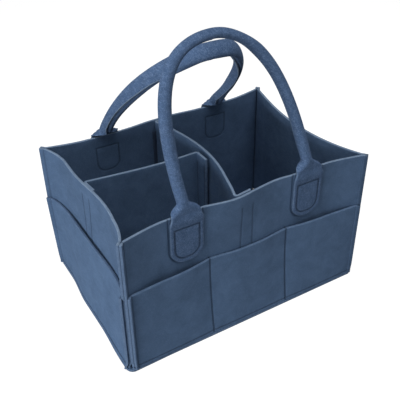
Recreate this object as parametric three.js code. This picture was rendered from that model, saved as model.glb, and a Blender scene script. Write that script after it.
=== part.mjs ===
// Felt caddy with sewn walls, outer pockets, rolled handles and lift-out dividers.
// Millimetres, +Z up, +X along the long side, origin under the middle of the floor.
import * as THREE from 'three';
import { mergeVertices } from 'three/addons/utils/BufferGeometryUtils.js';

// Felt and sewing
const feltThickness = 3;
const sewnGap = 0.3;
const tapeThickness = 1;
const tapeWidth = 20;
const tapeLength = 150;
const tapeFoot = 14;

// Body, measured inside the walls
const insideLength = 312;
const insideWidth = 214;
const bodyHeight = 180;
const pocketHeight = 110;
const floorCornerRadius = 9;
const seamFlange = 7;
const seamFlangeFoot = 3;
const seamFlangeRise = 18;

// How far the soft walls lean in at their rims
const longWallBow = 6;
const tabDip = 3.5;
const dipFlatHalf = 24;
const dipFade = 46;
const leftWallBow = 11.5;
const rightWallBow = 20.4;
const longBowSharpness = 8;
const leftBowSharpness = 5;
const rightBowSharpness = 2;
const rightBowSkew = 0.28;

// How far the pockets stand off the walls at their mouths
const outerPocketGape = 5.6;
const middlePocketGape = 4.6;
const endPocketGape = 5.5;
const gapeSharpness = 0.7;
const pocketSeamSpacing = 105;

// Handles: one strip each, sewn flat on the wall at both ends and rolled in between
const handleSpacing = 160;
const stripWidth = 40;
const tabLength = 60;
const tabCornerRadius = 17;
const rollAngle = THREE.MathUtils.degToRad(355);
const rollLength = 15;
const uprightLength = 16;
const turnLength = 70;
const foldClearance = 0.5;
const frontRolledWidth = 31.5;
const frontArchRise = 166.5;
const frontArchRoundness = 2.68;
const frontArchLean = THREE.MathUtils.degToRad(19.7);
const frontArchSkew = 0.104;
const backLeftSeamEnd = 0.46;
const backRightSeamStart = 0.21;
const backRightSeamEnd = 0.46;
const backPressStart = 6;
const backPressLength = 56;
const backPressTurn = THREE.MathUtils.degToRad(-55);
const pressedWidthShare = 1.3;
const pressedDepthShare = 0.67;
const backLeftLean = THREE.MathUtils.degToRad(33.9);
const backLeftReach = 164;
const backRightLean = THREE.MathUtils.degToRad(44.8);
const backRightReach = 273.5;

// Dividers: felt strips with both ends folded over to the same side
const dividerTabLength = 22;
const crossFrontFoldX = -19;
const crossBackFoldX = -11.5;
const crossWallTapeX = -4.5;
const crossBow = 20;
const smallLeftFoldY = 17;
const smallRightFoldY = 6.5;
const smallBow = -4;
const smallDrop = 3;

// How finely the bent sheets are divided
const longSteps = 32;
const endSteps = 18;
const pocketSteps = 7;
const rimSteps = 2;
const tapeSteps = 8;
const stripSteps = 12;
const handleSteps = 44;
const handleEndCrowding = 0.45;
const dividerSteps = 14;

const felt = { color: 0x3b4f6a, roughness: 0.95, metalness: 0 };
const paleFelt = { color: 0x46597a, roughness: 0.95, metalness: 0 };
const tape = { color: 0x26344a, roughness: 0.8, metalness: 0 };

const halfLength = insideLength / 2;
const halfWidth = insideWidth / 2;
const wallFoot = feltThickness + sewnGap;
const pocketOffset = feltThickness + sewnGap;
const smooth = (t) => THREE.MathUtils.smoothstep(t, 0, 1);

const part = new THREE.Group();

function addPiece(name, geometry, finish) {
  const mesh = new THREE.Mesh(geometry, new THREE.MeshStandardMaterial(finish));
  mesh.name = name;
  part.add(mesh);
  return mesh;
}

function joined(geometry) {
  geometry.deleteAttribute('normal');
  geometry.deleteAttribute('uv');
  const closed = mergeVertices(geometry, 1e-4);
  closed.computeVertexNormals();
  return closed;
}

// A felt sheet: a grid of cells, one thickness deep.
// place(u, layer, v) gives each corner's point for u and v from 0 to 1 and layer 0 or 1.
// Both faces are cut along the same diagonals, so sheets laid on each other stay apart.
function sheet(acrossSteps, upSteps, place) {
  const points = [];
  for (let k = 0; k <= upSteps; k += 1) {
    for (let i = 0; i <= acrossSteps; i += 1) {
      points.push(place(i / acrossSteps, 0, k / upSteps), place(i / acrossSteps, 1, k / upSteps));
    }
  }
  const corner = (i, layer, k) => (k * (acrossSteps + 1) + i) * 2 + layer;
  const faces = [];
  const quad = (a, b, c, d) => faces.push(a, b, c, a, c, d);
  for (let k = 0; k < upSteps; k += 1) {
    for (let i = 0; i < acrossSteps; i += 1) {
      quad(corner(i, 1, k), corner(i, 1, k + 1), corner(i + 1, 1, k + 1), corner(i + 1, 1, k));
      quad(corner(i, 0, k), corner(i + 1, 0, k), corner(i + 1, 0, k + 1), corner(i, 0, k + 1));
    }
    const last = acrossSteps;
    quad(corner(0, 0, k), corner(0, 0, k + 1), corner(0, 1, k + 1), corner(0, 1, k));
    quad(corner(last, 0, k), corner(last, 1, k), corner(last, 1, k + 1), corner(last, 0, k + 1));
  }
  for (let i = 0; i < acrossSteps; i += 1) {
    const top = upSteps;
    quad(corner(i, 0, 0), corner(i, 1, 0), corner(i + 1, 1, 0), corner(i + 1, 0, 0));
    quad(corner(i, 0, top), corner(i + 1, 0, top), corner(i + 1, 1, top), corner(i, 1, top));
  }
  const geometry = new THREE.BufferGeometry().setFromPoints(points).setIndex(faces);
  geometry.computeVertexNormals();
  return geometry;
}

// The lean of a wall grows from the floor up to the pocket rim, then stays.
const leanShare = (z) => Math.sin((Math.PI / 2) * Math.min(z / pocketHeight, 1));

function longWallLean(x) {
  const fromTab = Math.max(Math.abs(Math.abs(x) - handleSpacing / 2) - dipFlatHalf, 0);
  const dip = fromTab < dipFade ? (1 + Math.cos((Math.PI * fromTab) / dipFade)) / 2 : 0;
  return longWallBow * (1 - Math.abs(x / halfLength) ** longBowSharpness) + tabDip * dip;
}
const leftWallLean = (y) => leftWallBow * (1 - Math.abs(y / halfWidth) ** leftBowSharpness);
function rightWallLean(y) {
  const bow = rightWallBow * (1 - Math.abs(y / halfWidth) ** rightBowSharpness);
  return bow * (1 - (rightBowSkew * y) / halfWidth);
}

// Where the seam flange ends: shorter near the floor, where the corner is rounded off.
function flangeAt(z) {
  return THREE.MathUtils.lerp(seamFlangeFoot, seamFlange, smooth((z - wallFoot) / seamFlangeRise));
}

// A point of a wall seen from above, with the wall along +u and its outside at -v.
// outward is the distance from the wall's inside face, and the ends turn out by 45 degrees
// into the corner seam, where they meet the next wall's.
function wallPlan(half, steps, index, outward, z) {
  const seamHalf = outward + sewnGap / 2;
  const bend = half + outward - seamHalf * Math.SQRT2;
  if (index === 1 || index === steps - 1) {
    return { along: index === 1 ? -bend : bend, out: outward };
  }
  if (index > 1 && index < steps - 1) {
    const straight = half - feltThickness;
    return { along: THREE.MathUtils.lerp(-straight, straight, (index - 1) / (steps - 2)), out: outward };
  }
  const reach = flangeAt(z) / Math.SQRT2;
  const along = half + reach - seamHalf / Math.SQRT2;
  return { along: index === 0 ? -along : along, out: reach + seamHalf / Math.SQRT2 };
}

// Each wall lies as the front wall does, then turns about the box's middle.
const sides = {
  front: { half: halfLength, away: halfWidth, turn: 0, steps: longSteps, lean: longWallLean },
  back: { half: halfLength, away: halfWidth, turn: Math.PI, steps: longSteps, lean: longWallLean },
  left: { half: halfWidth, away: halfLength, turn: -Math.PI / 2, steps: endSteps, lean: leftWallLean },
  right: { half: halfWidth, away: halfLength, turn: Math.PI / 2, steps: endSteps, lean: rightWallLean },
};
const upAxis = new THREE.Vector3(0, 0, 1);

function onWall(side, along, outward, z) {
  const lean = side.lean(THREE.MathUtils.clamp(along, -side.half, side.half));
  const point = new THREE.Vector3(along, -(side.away + outward) + lean * leanShare(z), z);
  return point.applyAxisAngle(upAxis, side.turn);
}

// Wall and pocket share their lower levels, so they bend at the same heights.
function levelHeight(level) {
  if (level <= pocketSteps) {
    return THREE.MathUtils.lerp(wallFoot, pocketHeight, level / pocketSteps);
  }
  return THREE.MathUtils.lerp(pocketHeight, bodyHeight, (level - pocketSteps) / rimSteps);
}

function wallSheet(side, inner, levels, gapeAt) {
  return sheet(side.steps, levels, (u, layer, v) => {
    const z = levelHeight(Math.round(v * levels));
    const outward = layer === 1 ? inner : inner + feltThickness;
    const index = Math.round(u * side.steps);
    const plan = wallPlan(side.half, side.steps, index, outward, z);
    const gape = gapeAt ? gapeAt(plan.along, z) : 0;
    return onWall(side, plan.along, plan.out + gape, z);
  });
}

// A pocket stands off its wall between two sewn lines, and most at its mouth.
function gapeBetween(lines, gapes) {
  return (along, z) => {
    const opening = leanShare(z) ** gapeSharpness;
    for (let i = 0; i < gapes.length; i += 1) {
      const t = (along - lines[i]) / (lines[i + 1] - lines[i]);
      if (t > 0 && t < 1) {
        return gapes[i] * Math.sin(Math.PI * t) * opening;
      }
    }
    return 0;
  };
}

const pocketEdge = (half) => half - feltThickness;
const longPocketLines = [
  -pocketEdge(halfLength), -pocketSeamSpacing / 2, pocketSeamSpacing / 2, pocketEdge(halfLength),
];
const endPocketLines = [-pocketEdge(halfWidth), pocketEdge(halfWidth)];
const longGape = gapeBetween(longPocketLines, [outerPocketGape, middlePocketGape, outerPocketGape]);
const endGape = gapeBetween(endPocketLines, [endPocketGape]);

for (const [name, side] of Object.entries(sides)) {
  const gape = side.half === halfLength ? longGape : endGape;
  addPiece(`${name}_wall`, wallSheet(side, 0, pocketSteps + rimSteps), felt);
  addPiece(`${name}_pocket`, wallSheet(side, pocketOffset, pocketSteps, gape), paleFelt);
}

// Floor panel, out to the pockets' outer faces
function roundedRectangle(halfX, halfY, radius) {
  const shape = new THREE.Shape();
  shape.moveTo(halfX - radius, -halfY);
  shape.absarc(halfX - radius, radius - halfY, radius, -Math.PI / 2, 0);
  shape.absarc(halfX - radius, halfY - radius, radius, 0, Math.PI / 2);
  shape.absarc(radius - halfX, halfY - radius, radius, Math.PI / 2, Math.PI);
  shape.absarc(radius - halfX, radius - halfY, radius, Math.PI, 1.5 * Math.PI);
  shape.closePath();
  return shape;
}

const floorReach = pocketOffset + feltThickness;
const floorShape = roundedRectangle(halfLength + floorReach, halfWidth + floorReach, floorCornerRadius);
const floorSolid = { depth: feltThickness, bevelEnabled: false, curveSegments: 6 };
addPiece('floor_panel', joined(new THREE.ExtrudeGeometry(floorShape, floorSolid)), felt);

// Sewn tabs at the ends of the handle strips, flat on the outside of the long walls
function tabShape() {
  const half = stripWidth / 2;
  const arcX = half - tabCornerRadius;
  const arcY = tabCornerRadius - tabLength;
  const shape = new THREE.Shape();
  shape.moveTo(half, 0);
  shape.lineTo(-half, 0);
  shape.lineTo(-half, arcY);
  shape.absarc(-arcX, arcY, tabCornerRadius, Math.PI, 1.5 * Math.PI);
  shape.absarc(arcX, arcY, tabCornerRadius, 1.5 * Math.PI, 2 * Math.PI);
  shape.closePath();
  return shape;
}

const tabInside = halfWidth - longWallBow - tabDip + pocketOffset;
for (const side of ['front', 'back']) {
  for (const end of ['left', 'right']) {
    const solid = { depth: feltThickness, bevelEnabled: false, curveSegments: 8 };
    const geometry = joined(new THREE.ExtrudeGeometry(tabShape(), solid));
    const tab = addPiece(`${side}_${end}_handle_tab`, geometry, felt);
    const x = (end === 'left' ? -1 : 1) * handleSpacing / 2;
    tab.rotation.x = Math.PI / 2;
    tab.position.set(x, side === 'front' ? -tabInside : tabInside + feltThickness, bodyHeight);
  }
}

// A round-topped arch over both tabs, leaning in over the box
class LeaningArch extends THREE.Curve {
  constructor(leftRoot, rightRoot, rise, roundness, lean, skew) {
    super();
    this.middle = leftRoot.clone().lerp(rightRoot, 0.5);
    this.half = leftRoot.distanceTo(rightRoot) / 2;
    this.rise = rise;
    this.power = 2 / roundness;
    this.lean = lean;
    this.skew = skew;
  }

  getPoint(t, target = new THREE.Vector3()) {
    const angle = Math.PI * t;
    const cosine = Math.cos(angle);
    const up = this.rise * Math.max(Math.sin(angle), 0) ** this.power;
    const along = -Math.sign(cosine) * this.half * Math.abs(cosine) ** this.power - this.skew * up;
    return target.set(along, up * Math.sin(this.lean), up * Math.cos(this.lean)).add(this.middle);
  }
}

const handleFoot = bodyHeight + foldClearance;
const stripMiddle = tabInside + feltThickness / 2;

function handleRoot(end, y) {
  return new THREE.Vector3(end * handleSpacing / 2, y, handleFoot);
}

// The direction of a leg that leans toward -y, at its full reach
function leaningReach(root, lean, reach) {
  return root.clone().add(new THREE.Vector3(0, -Math.sin(lean), Math.cos(lean)).multiplyScalar(reach));
}

const frontArch = new LeaningArch(
  handleRoot(-1, -stripMiddle), handleRoot(1, -stripMiddle),
  frontArchRise, frontArchRoundness, frontArchLean, frontArchSkew,
);
const backLeftRoot = handleRoot(-1, stripMiddle);
const backRightRoot = handleRoot(1, stripMiddle);
const backArch = new THREE.CubicBezierCurve3(
  backLeftRoot, leaningReach(backLeftRoot, backLeftLean, backLeftReach),
  leaningReach(backRightRoot, backRightLean, backRightReach), backRightRoot,
);

// Even shares along a handle, moved toward its two ends, where it bends most
function closerAtEnds(share) {
  return share - (handleEndCrowding * Math.sin(2 * Math.PI * share)) / (2 * Math.PI);
}

// The strip leaves the wall flat. Its two sides roll in until they meet in an open seam, which
// first faces the inside of the box, then turns toward the middle of the arch.
function handleStations(handle) {
  const { arch, inward, rolledWidth, seamTurnAt, pressedAt } = handle;
  arch.arcLengthDivisions = 1000;
  const length = arch.getLength();
  const middle = arch.getPoint(0).lerp(arch.getPoint(1), 0.5);
  const facing = new THREE.Vector3(0, inward, 0);
  return Array.from({ length: handleSteps + 1 }, (_, i) => {
    const share = closerAtEnds(i / handleSteps);
    const fromEnd = Math.min(share, 1 - share) * length;
    const point = arch.getPointAt(share);
    const upright = new THREE.Vector3(0, 0, share < 0.5 ? 1 : -1);
    const tangent = upright.lerp(arch.getTangentAt(share), smooth(fromEnd / uprightLength)).normalize();
    const across = facing.clone().addScaledVector(tangent, -tangent.dot(facing)).normalize();
    const inner = middle.clone().sub(point);
    inner.addScaledVector(tangent, -tangent.dot(inner));
    inner.addScaledVector(across, -across.dot(inner)).normalize();
    const turned = (turn) => {
      const facingIn = across.clone().multiplyScalar(Math.cos(turn)).addScaledVector(inner, Math.sin(turn));
      return facingIn.negate();
    };
    const outer = turned((Math.PI / 2) * seamTurnAt(share, fromEnd));
    const wide = tangent.clone().cross(outer);
    const thin = turned(backPressTurn * smooth(fromEnd / turnLength));
    const rolled = Math.min(fromEnd / rollLength, 1);
    return {
      point, outer, wide, rolled,
      width: THREE.MathUtils.lerp(stripWidth, rolledWidth, rolled),
      thin: new THREE.Vector2(thin.dot(outer), thin.dot(wide)).normalize(),
      pressed: pressedAt(fromEnd),
    };
  });
}

// Scales a vector of the tube's section by one share along the thin direction, another across it
function pressedVector(vector, thin, thinShare, wideShare) {
  const across = new THREE.Vector2(-thin.y, thin.x);
  const inThin = vector.dot(thin) * thinShare;
  return across.multiplyScalar(vector.dot(across) * wideShare).addScaledVector(thin, inThin);
}

function handleGeometry(handle) {
  const stations = handleStations(handle);
  return sheet(stripSteps, handleSteps, (u, layer, v) => {
    const { point, outer, wide, rolled, width, thin, pressed } = stations[Math.round(v * handleSteps)];
    const side = Math.sign(u - 0.5);
    const along = Math.abs(u - 0.5) * width;
    const radius = width / rollAngle;
    const flatHalf = (width / 2) * (1 - rolled);
    const bend = Math.max(along - flatHalf, 0) / radius;
    const aside = Math.min(along, flatHalf) + radius * Math.sin(bend);
    const centre = new THREE.Vector2(radius * (Math.cos(bend) - 1 + rolled), side * aside);
    const normal = new THREE.Vector2(Math.cos(bend), side * Math.sin(bend));
    const wideShare = THREE.MathUtils.lerp(1, pressedWidthShare, pressed);
    const thinShare = THREE.MathUtils.lerp(1, pressedDepthShare, pressed);
    const depth = (layer === 1 ? -feltThickness : feltThickness) / 2;
    const face = pressedVector(normal, thin, wideShare, thinShare).normalize();
    const section = pressedVector(centre, thin, thinShare, wideShare).addScaledVector(face, depth);
    return point.clone().addScaledVector(outer, section.x).addScaledVector(wide, section.y);
  });
}

addPiece('front_handle', handleGeometry({
  arch: frontArch,
  inward: 1,
  rolledWidth: frontRolledWidth,
  seamTurnAt: (share, fromEnd) => smooth(fromEnd / turnLength),
  pressedAt: () => 0,
}), felt);

// The back handle's tube is pressed flat above its feet, and its seam stays in view longer on
// the right leg than on the left one.
addPiece('back_handle', handleGeometry({
  arch: backArch,
  inward: -1,
  rolledWidth: stripWidth,
  seamTurnAt: (share) => (share < 0.5
    ? smooth(share / backLeftSeamEnd)
    : smooth((1 - share - backRightSeamStart) / (backRightSeamEnd - backRightSeamStart))),
  pressedAt: (fromEnd) => smooth((fromEnd - backPressStart) / backPressLength),
}), felt);

// A strip of felt seen from above: its middle line, given its thickness on both sides
function stripShape(line, thickness) {
  const sideLine = (sign) => line.map((point, i) => {
    const before = line[Math.max(i - 1, 0)];
    const after = line[Math.min(i + 1, line.length - 1)];
    const first = point.clone().sub(i > 0 ? before : after).multiplyScalar(i > 0 ? 1 : -1).normalize();
    const last = after.clone().sub(i < line.length - 1 ? point : before).normalize();
    const normal = new THREE.Vector2(-first.y - last.y, first.x + last.x).normalize();
    const widening = 1 / (normal.x * -first.y + normal.y * first.x);
    return point.clone().addScaledVector(normal, (sign * widening * thickness) / 2);
  });
  return new THREE.Shape([...sideLine(-1), ...sideLine(1).reverse()]);
}

function dividerPiece(name, line, top) {
  const solid = { depth: top - wallFoot, bevelEnabled: false };
  const geometry = joined(new THREE.ExtrudeGeometry(stripShape(line, feltThickness), solid));
  addPiece(name, geometry, felt).position.z = wallFoot;
}

// A fold line of felt between two ends, bowed to one side like a held strip
function bowedLine(start, end, bow) {
  const side = new THREE.Vector2(end.y - start.y, start.x - end.x).normalize();
  return Array.from({ length: dividerSteps + 1 }, (_, i) => {
    const t = i / dividerSteps;
    return start.clone().lerp(end, t).addScaledVector(side, -bow * 4 * t * (1 - t));
  });
}

// Hook and loop tape: one strip sewn on the wall, its mate on the divider's folded end
const tapeStack = 3 * sewnGap + 2 * tapeThickness;
const mateOffset = 2 * sewnGap + 1.5 * tapeThickness;
const tapeMiddle = tapeFoot + tapeLength / 2;

function wallTape(name, side, along) {
  addPiece(name, sheet(2, tapeSteps, (u, layer, v) => {
    const outward = -sewnGap - (layer === 1 ? tapeThickness : 0);
    return onWall(side, along + (u - 0.5) * tapeWidth, outward, tapeFoot + v * tapeLength);
  }), tape);
}

function flatTape(name, x, y, alongX) {
  const size = alongX ? [tapeWidth, tapeThickness] : [tapeThickness, tapeWidth];
  const strip = addPiece(name, joined(new THREE.BoxGeometry(...size, tapeLength)), tape);
  strip.position.set(x, y, tapeMiddle);
}

const crossFrontMateX = crossFrontFoldX + dividerTabLength / 2;
const crossBackMateX = crossBackFoldX + dividerTabLength / 2;
const smallTapeY = smallLeftFoldY - dividerTabLength / 2;
const crossFoldY = halfWidth - longWallBow - tapeStack - feltThickness / 2;
const crossMateY = halfWidth - longWallBow - mateOffset;
const smallLeftX = leftWallBow - halfLength + tapeStack + feltThickness / 2;

wallTape('front_wall_tape', sides.front, crossWallTapeX);
wallTape('back_wall_tape', sides.back, -crossWallTapeX);
wallTape('left_wall_tape', sides.left, -smallTapeY);

// Cross divider, from the back wall to the front one
const crossBackFold = new THREE.Vector2(crossBackFoldX, crossFoldY);
const crossFrontFold = new THREE.Vector2(crossFrontFoldX, -crossFoldY);
const crossLine = [
  new THREE.Vector2(crossBackFoldX + dividerTabLength, crossFoldY),
  ...bowedLine(crossBackFold, crossFrontFold, crossBow),
  new THREE.Vector2(crossFrontFoldX + dividerTabLength, -crossFoldY),
];
dividerPiece('cross_divider', crossLine, bodyHeight);
flatTape('cross_divider_front_tape', crossFrontMateX, -crossMateY, true);
flatTape('cross_divider_back_tape', crossBackMateX, crossMateY, true);

// Where the small divider's right end lies along the cross divider, on its left face
const meetingY = smallRightFoldY - dividerTabLength / 2;
const meetingFarY = smallRightFoldY - dividerTabLength;
function crossMiddleAt(y) {
  const unbowed = THREE.MathUtils.mapLinear(y, -crossFoldY, crossFoldY, crossFrontFoldX, crossBackFoldX);
  return unbowed + crossBow * (1 - (y / crossFoldY) ** 2);
}
const crossNearestX = Math.min(crossMiddleAt(meetingFarY), crossMiddleAt(smallRightFoldY));
const crossLeftFace = crossNearestX - feltThickness / 2;
const smallRightX = crossLeftFace - tapeStack - feltThickness / 2 - sewnGap;
flatTape('cross_divider_middle_tape', crossLeftFace - 2 * sewnGap - tapeThickness / 2, meetingY, false);

// Small divider, from the left wall to the cross divider
const smallLeftFold = new THREE.Vector2(smallLeftX, smallLeftFoldY);
const smallRightFold = new THREE.Vector2(smallRightX, smallRightFoldY);
const smallLine = [
  new THREE.Vector2(smallLeftX, smallLeftFoldY - dividerTabLength),
  ...bowedLine(smallLeftFold, smallRightFold, smallBow),
  new THREE.Vector2(smallRightX, smallRightFoldY - dividerTabLength),
];
dividerPiece('small_divider', smallLine, bodyHeight - smallDrop);
const smallMateX = smallRightX + (feltThickness + tapeThickness) / 2 + sewnGap;
flatTape('small_divider_left_tape', leftWallBow - halfLength + mateOffset, smallTapeY, false);
flatTape('small_divider_right_tape', smallMateX, meetingY, false);

export default part;
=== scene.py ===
import math
import bpy
import numpy as np
from mathutils import Matrix, Vector


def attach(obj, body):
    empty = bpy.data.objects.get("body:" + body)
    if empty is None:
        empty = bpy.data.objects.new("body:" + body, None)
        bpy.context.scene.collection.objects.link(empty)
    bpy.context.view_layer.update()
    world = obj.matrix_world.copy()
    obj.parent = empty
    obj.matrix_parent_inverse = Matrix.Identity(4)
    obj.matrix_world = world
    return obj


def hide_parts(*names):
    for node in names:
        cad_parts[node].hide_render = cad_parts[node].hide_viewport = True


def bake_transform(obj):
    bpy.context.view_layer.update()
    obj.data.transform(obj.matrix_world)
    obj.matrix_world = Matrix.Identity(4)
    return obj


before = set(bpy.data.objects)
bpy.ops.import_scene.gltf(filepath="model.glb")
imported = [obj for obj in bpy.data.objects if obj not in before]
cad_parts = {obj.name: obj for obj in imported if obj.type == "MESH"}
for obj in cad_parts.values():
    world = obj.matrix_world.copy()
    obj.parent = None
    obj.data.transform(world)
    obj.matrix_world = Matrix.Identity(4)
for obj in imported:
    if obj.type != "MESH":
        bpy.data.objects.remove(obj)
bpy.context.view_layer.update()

mm = 0.001

# Sizes are in millimetres until a mesh is made, with x along the long side and z up.

def placed(name, data):
    made = bpy.data.objects.new(name, data)
    bpy.context.scene.collection.objects.link(made)
    return made


camera = {
    "azimuth": -30.509,
    "elevation": 34.582,
    "roll": -0.88,
    "distance": 838.2,
    "target": (11.87, 25.55, 90.0),
    "lens": 57.75,
    "sensor": 36.0,
}


def makeCamera(look):
    azimuth, elevation, roll = (math.radians(look[key]) for key in ("azimuth", "elevation", "roll"))
    flat = Vector((math.sin(azimuth), -math.cos(azimuth), 0))
    back = flat * math.cos(elevation) + Vector((0, 0, math.sin(elevation)))
    level = Vector((math.cos(azimuth), math.sin(azimuth), 0))
    upright = back.cross(level)
    right = level * math.cos(roll) + upright * math.sin(roll)
    up = upright * math.cos(roll) - level * math.sin(roll)
    data = bpy.data.cameras.new("camera")
    data.lens = look["lens"]
    data.sensor_width = look["sensor"]
    data.clip_start = 0.01
    made = placed("camera", data)
    at = (Vector(look["target"]) + back * look["distance"]) * mm
    made.matrix_world = Matrix.Translation(at) @ Matrix((right, up, back)).transposed().to_4x4()
    bpy.context.scene.camera = made


makeCamera(camera)
print("camera placed")


# The box as it is cut and sewn

caddy = {
    "felt": 3.0,
    "gap": 0.3,
    "insideLength": 312.0,
    "insideWidth": 214.0,
    "wallTop": 180.0,
    "pocketTop": 110.0,
    "seamFlange": 7.0,
    "seamFlangeFoot": 6.2,
    "seamFlangeRise": 18.0,  # the height over which the flange widens from its foot
    "leftWallCutBack": 2.4,
    # The near right corner's cut edges are pressed thinner and darkened as painted shade
    "edgeShadedThin": 0.8,  # how much thinner the cut edges are at the near right corner
    "edgeShadedThinWidth": 5.2,
    "seamRadius": 3.4,
    "longWallBow": 6.0,
    "longBowSharpness": 8,
    "tabDip": 3.5,  # how much further in the rim lies at a handle's tab
    "dipFlatHalf": 24.0,
    "dipFade": 46.0,
    "leftWallBow": 11.5,
    "leftBowSharpness": 5,
    "rightWallBow": 20.4,
    "rightBowSkew": 0.28,
    "frontTwist": 3.0,
    "frontTwistReach": 56.0,
    "leftTwist": 2.2,
    "leftTwistReach": 70.0,
    "twistRise": 60.0,
    "outerPocketGape": 5.6,
    "middlePocketGape": 0.8,
    "leftPocketGape": 2.4,
    "rightPocketGape": 5.5,
    "gapeSharpness": 0.7,
    "pocketSeamAt": 52.5,
    "footTurn": 0.4,
    "footTurnHeight": 10.0,
    "floorCorner": 9.0,
    "edgeRound": 0.55,
    "cutEdgeRound": 0.25,
    "flangeRowInset": 5.6,  # rows of stitches: in from the cut edge, and up from the ground
    "footRow": 7.0,
    "wave": 0.35,
    "waveLength": 70.0,
    "cell": 2.6,  # the mesh's cells: on plain felt, at the tabs and on the flanges
    "fineCell": 0.8,
    "edgeCell": 0.75,
}
nearCorner = {  # The near left corner: its foot sags outwards
    "sag": 2.6,
    "sagFrom": 30.0,
    "sagLength": 60.0,
    "frontOut": 0.6,
    "frontOutFrom": 110.0,
    "frontOutLength": 40.0,
}
farCorner = {  # The far left corner: its foot lies further in than its rim
    "drawnIn": 4.2,
    "height": 110.0,
    "across": 50.0,
    "from": 18.0,
    "length": 55.0,
}
felt = caddy["felt"]
halfLength = caddy["insideLength"] / 2
halfWidth = caddy["insideWidth"] / 2
wallFoot = felt + caddy["gap"]
pocketInside = felt + caddy["gap"]
floorReach = pocketInside + felt + caddy["footTurn"]

handles = {
    "spacing": 160.0,
    "stripWidth": 40.0,
    "rimPull": 0.12,  # how much narrower a tab is drawn where its roll begins
    "rimPullLength": 9.0,
    "tabLength": 60.0,
    "tabCorner": 17.0,
    "tabMargin": 4.0,
    "rollAngle": math.radians(355),
    "cutEdgeRound": 1.0,
    "uprightLength": 16.0,
    "turnLength": 70.0,
    "foot": 180.5,
    "foldSpan": (174.0, 194.0),  # the heights between which the strip folds as the handle swings
    "seamStep": 1.3,
    "seamStepWidth": 4.0,
    # How far the felt beside the roll's seam is drawn in; the same depth paints shade there
    "drawnIn": 0.55,
    "drawnShadeWidth": 7.0,
    "stitchInset": 5.0,
    "stitchTop": 16.0,
    "backStitchFoot": 50.0,
    "swell": 1.0,
    "swellAt": 7.0,
    "puckered": 1.3,
    "tabShadow": 0.8,
    "tackAt": 22.0,
    "tackHalf": 3.4,
    "cells": (1.1, 0.9, 1.9),  # across the strip, down the tabs and along the arch
}
tabInside = halfWidth - caddy["longWallBow"] - caddy["tabDip"] + pocketInside
stripMiddle = tabInside + felt / 2

dividers = {
    "tabLength": 22.0,
    "foldRadius": 2.6,
    "crossFrontFoldX": -19.0,
    "crossBackFoldX": -11.5,
    "crossWallTapeX": -4.5,
    "crossBow": 20.0,
    "smallLeftFoldY": 17.0,
    "smallRightFoldY": 6.5,
    "smallBow": -4.0,
    "smallDrop": 3.0,
    "topPress": 1.5,  # how far the folded ends lean out above the tapes
    "tape": 1.0,
    "tapeWidth": 20.0,
    "tapeLength": 150.0,
    "tapeFoot": 14.0,
    "tapeSeam": 2.2,
    "wave": 1.0,
    "waveLength": 90.0,
    "waveFrom": 4.0,
    "waveRise": 30.0,
    "endReach": 45.0,  # how far from its ends a divider follows the walls
    "cells": (3.0, 3.2),
    "foldCell": 0.8,
    "foldCellsReach": 6.0,
}
tapeStack = 3 * caddy["gap"] + 2 * dividers["tape"]
mateOffset = 2 * caddy["gap"] + 1.5 * dividers["tape"]
tapeTop = dividers["tapeFoot"] + dividers["tapeLength"]
tapeSeamHalf = dividers["tapeWidth"] / 2 - dividers["tapeSeam"]

stitch = {
    "pitch": 3.4,
    "long": 2.7,
    "wide": 0.62,
    "lift": 0.22,
    "sunk": 0.12,
    "groove": 0.8,
    "grooveHalf": 0.95,
    "unevenness": 0.06,
}


def smooth(t):
    t = np.clip(t, 0.0, 1.0)
    return t * t * (3 - 2 * t)


def lerp(a, b, t):
    return a + (b - a) * t


def unit(v):
    return v / np.linalg.norm(v, axis=-1, keepdims=True)


def runAlong(line):
    # How far along a line each of its points lies
    return np.concatenate([[0], np.cumsum(np.linalg.norm(np.diff(line, axis=0), axis=1))])


def pointsAt(marks, run, line):
    return np.stack([np.interp(marks, run, column) for column in line.T], -1)


# Materials

def fill(tree, made, values):
    # A value that is the output of another node is linked, and any other one is set
    for key, value in values.items():
        if isinstance(value, bpy.types.NodeSocket):
            tree.links.new(value, made.inputs[key])
        else:
            made.inputs[key].default_value = value


def node(tree, kind, values=None, **settings):
    made = tree.nodes.new(kind)
    for key, value in settings.items():
        setattr(made, key, value)
    fill(tree, made, values or {})
    return made


def mixed(tree, share, first, second, blend="MIX"):
    values = {0: share, 6: first, 7: second}
    return node(tree, "ShaderNodeMix", values, data_type="RGBA", blend_type=blend).outputs[2]


def newMaterial(name):
    made = bpy.data.materials.new(name)
    made.use_nodes = True
    return made, made.node_tree


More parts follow.
